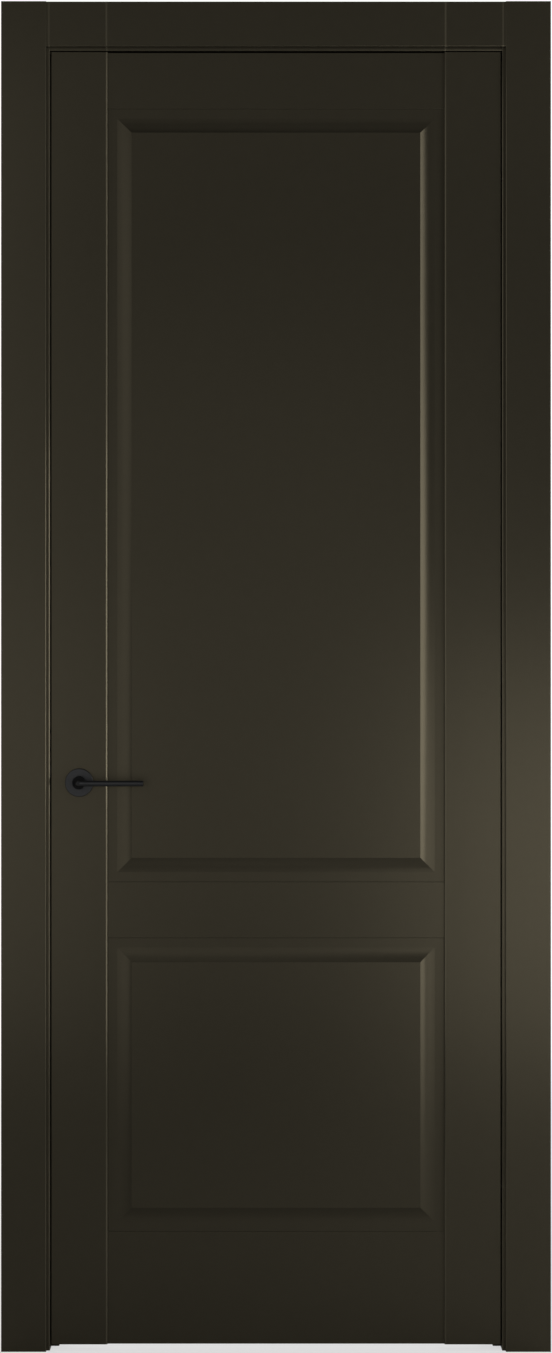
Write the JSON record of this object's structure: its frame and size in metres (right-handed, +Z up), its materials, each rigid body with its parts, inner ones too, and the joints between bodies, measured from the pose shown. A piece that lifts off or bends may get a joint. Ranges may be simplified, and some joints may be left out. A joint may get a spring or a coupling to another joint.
{
  "type": "interior door",
  "caption": "Dark lacquered stile and rail door leaf with raised panels and a round lever handle, hung on concealed hinges in a rebated frame with flat casings.",
  "frame": {"origin": "on the finished floor, in the middle of the doorway's width and of the leaf's thickness", "axes": "+X to the right seen from the front (the side of the hinges), +Y into the wall, +Z up"},
  "size_m": [0.977, 0.156, 2.3995],
  "materials": {
    "lacquer": "dark olive bronze satin lacquer",
    "beech": "plain turned beech",
    "seal": "matt black",
    "hinge_body": "satin grey",
    "hinge_arm": "satin",
    "plate_steel": "black oxide",
    "zinc_steel": "bright zinc plated",
    "handle_black": "satin black",
    "spring_steel": "oiled"
  },
  "bodies": {
    "frame": {"lining_hinge_side": "lacquer", "lining_lock_side": "lacquer", "lining_head": "lacquer", "lining_screws": "zinc_steel", "casing_front_right": "lacquer", "casing_front_left": "lacquer", "casing_front_head": "lacquer", "casing_rear_right": "lacquer", "casing_rear_left": "lacquer", "casing_rear_head": "lacquer", "seal_hinge_side": "seal", "seal_lock_side": "seal", "seal_head": "seal", "strike_plate": "plate_steel", "strike_box": "zinc_steel", "strike_screws": "plate_steel", "hinge_frame_screws": "zinc_steel", "hinge_1_frame_housing": "hinge_body", "hinge_2_frame_housing": "hinge_body", "hinge_3_frame_housing": "hinge_body"},
    "leaf": {"lock_stile": "lacquer", "hinge_stile": "lacquer", "top_rail": "lacquer", "mid_rail": "lacquer", "bottom_rail": "lacquer", "upper_panel": "lacquer", "lower_panel": "lacquer", "rail_dowels": "beech", "latch_case": "zinc_steel", "latch_cover": "zinc_steel", "latch_forend": "plate_steel", "latch_spring": "spring_steel", "forend_screws": "plate_steel", "rose_bases": "zinc_steel", "rose_cover_front": "handle_black", "rose_cover_rear": "handle_black", "rose_bolts": "zinc_steel", "hinge_leaf_screws": "zinc_steel", "hinge_1_leaf_housing": "hinge_body", "hinge_2_leaf_housing": "hinge_body", "hinge_3_leaf_housing": "hinge_body"},
    "handle": {"lever_front": "handle_black", "lever_rear": "handle_black", "spindle": "zinc_steel", "follower": "zinc_steel", "grub_screws": "zinc_steel"},
    "latch": {"latch_bolt": "plate_steel"},
    "frame_arm_1": {"hinge_1_frame_arm": "hinge_arm"},
    "frame_link_1": {"hinge_1_frame_link": "hinge_arm"},
    "leaf_arm_1": {"hinge_1_leaf_arm": "hinge_arm"},
    "leaf_link_1": {"hinge_1_leaf_link": "hinge_arm"},
    "frame_arm_2": {"hinge_2_frame_arm": "hinge_arm"},
    "frame_link_2": {"hinge_2_frame_link": "hinge_arm"},
    "leaf_arm_2": {"hinge_2_leaf_arm": "hinge_arm"},
    "leaf_link_2": {"hinge_2_leaf_link": "hinge_arm"},
    "frame_arm_3": {"hinge_3_frame_arm": "hinge_arm"},
    "frame_link_3": {"hinge_3_frame_link": "hinge_arm"},
    "leaf_arm_3": {"hinge_3_leaf_arm": "hinge_arm"},
    "leaf_link_3": {"hinge_3_leaf_link": "hinge_arm"}
  },
  "joints": [
    {"name": "leaf_swing", "type": "hinge", "parent": "frame", "child": "leaf", "pos_m": [0.40125, -0.02, 1.161], "axis": [0, 0, 1], "range_deg": [0, 100]},
    {"name": "lever_turn", "type": "hinge", "parent": "leaf", "child": "handle", "pos_m": [-0.35, 0, 1.011], "axis": [0, 1, 0], "range_deg": [0, 40], "stiffness_Nm_per_rad": 1.2, "springref_deg": -20.05},
    {"name": "latch_slide", "type": "slide", "parent": "leaf", "child": "latch", "axis": [1, 0, 0], "range_m": [0, 0.012], "deforming": ["latch_spring"]},
    {"name": "frame_arm_1_pivot", "type": "hinge", "parent": "frame", "child": "frame_arm_1", "pos_m": [0.40775, -0.0075, 0.261], "axis": [0, 0, 1], "range_deg": [0, 100]},
    {"name": "frame_link_1_pivot", "type": "hinge", "parent": "frame", "child": "frame_link_1", "pos_m": [0.41175, -0.0015, 0.261], "axis": [0, 0, 1], "range_deg": [0, 100]},
    {"name": "leaf_arm_1_pivot", "type": "hinge", "parent": "leaf", "child": "leaf_arm_1", "pos_m": [0.39475, -0.0075, 0.261], "axis": [0, 0, 1], "range_deg": [-100, 0]},
    {"name": "leaf_link_1_pivot", "type": "hinge", "parent": "leaf", "child": "leaf_link_1", "pos_m": [0.39075, -0.0015, 0.261], "axis": [0, 0, 1], "range_deg": [-100, 0]},
    {"name": "frame_arm_2_pivot", "type": "hinge", "parent": "frame", "child": "frame_arm_2", "pos_m": [0.40775, -0.0075, 1.161], "axis": [0, 0, 1], "range_deg": [0, 100]},
    {"name": "frame_link_2_pivot", "type": "hinge", "parent": "frame", "child": "frame_link_2", "pos_m": [0.41175, -0.0015, 1.161], "axis": [0, 0, 1], "range_deg": [0, 100]},
    {"name": "leaf_arm_2_pivot", "type": "hinge", "parent": "leaf", "child": "leaf_arm_2", "pos_m": [0.39475, -0.0075, 1.161], "axis": [0, 0, 1], "range_deg": [-100, 0]},
    {"name": "leaf_link_2_pivot", "type": "hinge", "parent": "leaf", "child": "leaf_link_2", "pos_m": [0.39075, -0.0015, 1.161], "axis": [0, 0, 1], "range_deg": [-100, 0]},
    {"name": "frame_arm_3_pivot", "type": "hinge", "parent": "frame", "child": "frame_arm_3", "pos_m": [0.40775, -0.0075, 2.061], "axis": [0, 0, 1], "range_deg": [0, 100]},
    {"name": "frame_link_3_pivot", "type": "hinge", "parent": "frame", "child": "frame_link_3", "pos_m": [0.41175, -0.0015, 2.061], "axis": [0, 0, 1], "range_deg": [0, 100]},
    {"name": "leaf_arm_3_pivot", "type": "hinge", "parent": "leaf", "child": "leaf_arm_3", "pos_m": [0.39475, -0.0075, 2.061], "axis": [0, 0, 1], "range_deg": [-100, 0]},
    {"name": "leaf_link_3_pivot", "type": "hinge", "parent": "leaf", "child": "leaf_link_3", "pos_m": [0.39075, -0.0015, 2.061], "axis": [0, 0, 1], "range_deg": [-100, 0]}
  ],
  "couplings": [
    {"joint": "latch_slide", "follows": "lever_turn", "m_per_rad": 0.017188},
    {"joint": "frame_arm_1_pivot", "follows": "leaf_swing", "ratio": 1},
    {"joint": "frame_link_1_pivot", "follows": "leaf_swing", "ratio": 1},
    {"joint": "leaf_arm_1_pivot", "follows": "leaf_swing", "ratio": -1},
    {"joint": "leaf_link_1_pivot", "follows": "leaf_swing", "ratio": -1},
    {"joint": "frame_arm_2_pivot", "follows": "leaf_swing", "ratio": 1},
    {"joint": "frame_link_2_pivot", "follows": "leaf_swing", "ratio": 1},
    {"joint": "leaf_arm_2_pivot", "follows": "leaf_swing", "ratio": -1},
    {"joint": "leaf_link_2_pivot", "follows": "leaf_swing", "ratio": -1},
    {"joint": "frame_arm_3_pivot", "follows": "leaf_swing", "ratio": 1},
    {"joint": "frame_link_3_pivot", "follows": "leaf_swing", "ratio": 1},
    {"joint": "leaf_arm_3_pivot", "follows": "leaf_swing", "ratio": -1},
    {"joint": "leaf_link_3_pivot", "follows": "leaf_swing", "ratio": -1}
  ]
}
